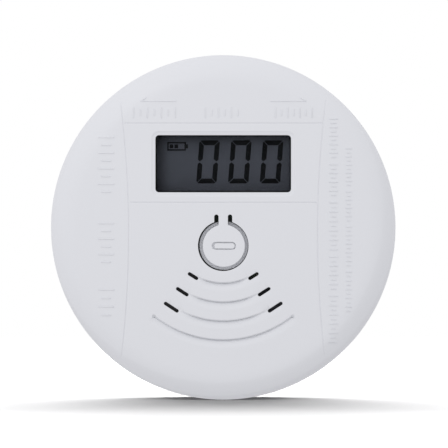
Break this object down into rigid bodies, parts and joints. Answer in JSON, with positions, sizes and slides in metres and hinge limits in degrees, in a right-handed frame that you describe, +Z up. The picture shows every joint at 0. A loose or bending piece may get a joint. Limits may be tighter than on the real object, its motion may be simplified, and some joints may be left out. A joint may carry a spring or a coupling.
{
  "type": "carbon monoxide detector",
  "caption": "Round white battery alarm with a display window, tongue test button, sound slots, hinged battery door and a twist-off wall bracket.",
  "frame": {"origin": "middle of the two wall-screw slots, on the rear face of the mounting bracket", "axes": "+Z up, +X to the right seen from the front, +Y into the wall, so the front with the display faces -Y"},
  "size_m": [0.1, 0.038, 0.1],
  "materials": {
    "white_abs": "fine moulded, low sheen white",
    "frame_abs": "moulded",
    "polariser": "smooth film, slight sheen",
    "lcd_glass": "polished",
    "lcd_ink": "flat",
    "reflector": "satin film",
    "acrylic": "frosted",
    "zebra_silicone": "matt",
    "board_laminate": "solder mask",
    "switch_black": "moulded",
    "sensor_plastic": "moulded",
    "sensor_steel": "drawn steel",
    "foam": "open-cell foam",
    "buzzer_plastic": "moulded",
    "piezo_brass": "rolled",
    "piezo_ceramic": "silvered",
    "coil_ferrite": "ferrite",
    "capacitor_sleeve": "shrink sleeve",
    "chip_epoxy": "moulded epoxy",
    "crystal_can": "drawn can",
    "chip_ceramic": "fired",
    "led_lens": "epoxy lens",
    "connector_nylon": "moulded nylon",
    "red_pvc": "extruded",
    "black_pvc": "extruded",
    "cell_jacket": "shrink label",
    "nickel_steel": "nickel plated",
    "screw_steel": "zinc plated"
  },
  "bodies": {
    "bracket": {"mounting_bracket": "white_abs"},
    "alarm": {"rear_housing": "white_abs", "front_cover": "white_abs", "lcd_frame": "frame_abs", "lcd_polariser": "polariser", "lcd_front_glass": "lcd_glass", "lcd_rear_glass": "lcd_glass", "lcd_segments": "lcd_ink", "lcd_reflector": "reflector", "light_guide": "acrylic", "zebra_strip": "zebra_silicone", "circuit_board": "board_laminate", "switch_body": "switch_black", "sensor_base": "sensor_plastic", "sensor_can": "sensor_steel", "sensor_gasket": "foam", "buzzer_housing": "buzzer_plastic", "piezo_disc": "piezo_brass", "piezo_ceramic": "piezo_ceramic", "buzzer_coil": "coil_ferrite", "electrolytic_capacitors": "capacitor_sleeve", "microcontroller": "chip_epoxy", "driver_transistors": "chip_epoxy", "crystal": "crystal_can", "chip_components": "chip_ceramic", "alarm_led": "led_lens", "battery_header": "connector_nylon", "battery_plug": "connector_nylon", "red_wire": "red_pvc", "black_wire": "black_pvc", "battery_cell_1": "cell_jacket", "battery_cell_2": "cell_jacket", "battery_cell_3": "cell_jacket", "contact_springs": "nickel_steel", "positive_contact": "nickel_steel", "negative_contact": "nickel_steel", "upper_link_contact": "nickel_steel", "lower_link_contact": "nickel_steel", "case_screws": "screw_steel", "board_screws": "screw_steel"},
    "button": {"test_button": "white_abs"},
    "plunger": {"switch_plunger": "switch_black"},
    "door": {"battery_door": "white_abs"}
  },
  "joints": [
    {"name": "twist", "type": "hinge", "parent": "bracket", "child": "alarm", "pos_m": [0, 0, 0], "axis": [0, 1, 0], "range_deg": [0, 15]},
    {"name": "button_press", "type": "hinge", "parent": "alarm", "child": "button", "pos_m": [0, -0.03715, 0.0031], "axis": [1, 0, 0], "range_deg": [0, 2.5], "stiffness_Nm_per_rad": 0.35},
    {"name": "plunger_slide", "type": "slide", "parent": "alarm", "child": "plunger", "axis": [0, 1, 0], "range_m": [0, 0.0004]},
    {"name": "door_hinge", "type": "hinge", "parent": "alarm", "child": "door", "pos_m": [0, -0.0055, 0.0273], "axis": [1, 0, 0], "range_deg": [0, 90]}
  ],
  "couplings": [
    {"joint": "plunger_slide", "follows": "button_press", "m_per_rad": 0.0084}
  ]
}
